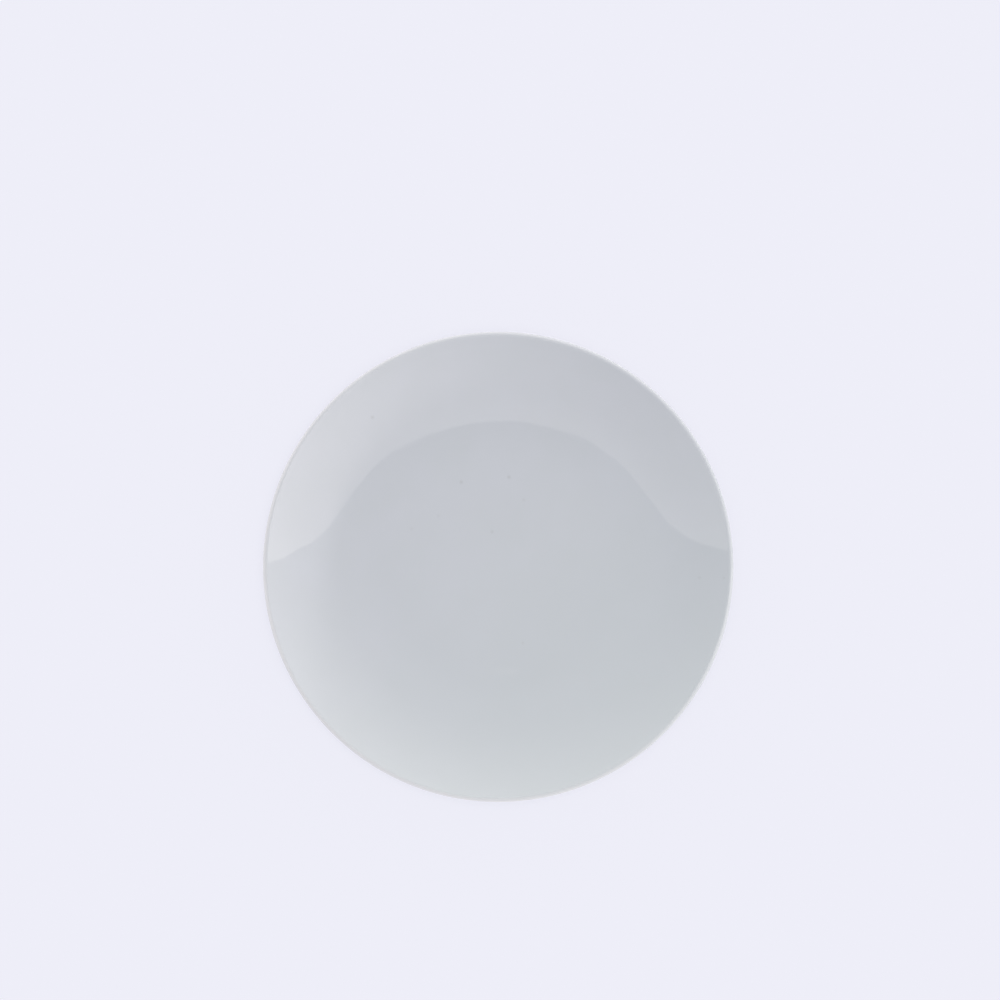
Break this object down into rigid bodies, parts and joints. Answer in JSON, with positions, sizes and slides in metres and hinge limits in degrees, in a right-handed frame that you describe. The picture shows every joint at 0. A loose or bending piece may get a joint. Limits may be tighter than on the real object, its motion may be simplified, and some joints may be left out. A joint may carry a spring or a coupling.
{
  "type": "dessert plate",
  "caption": "Round coupe dessert plate in plain white glazed porcelain: a level well that curves up to a rounded lip, on a low bare foot ring.",
  "frame": {"origin": "centre of the foot ring's sole, on the table under the middle of the plate", "axes": "+Z is the plate's axis of turning and points up out of the dish; +X and +Y lie in the table and are alike, because the plate is round"},
  "size_m": [0.2, 0.2, 0.018],
  "materials": {
    "bare_porcelain": "unglazed, matt and faintly sandy, bare only on the sole of the foot ring",
    "porcelain_glaze": "clear glossy glaze over white porcelain, cool white"
  },
  "bodies": {
    "root": {"porcelain_body": "bare_porcelain", "outer_glaze": "porcelain_glaze", "base_glaze": "porcelain_glaze"}
  },
  "joints": []
}
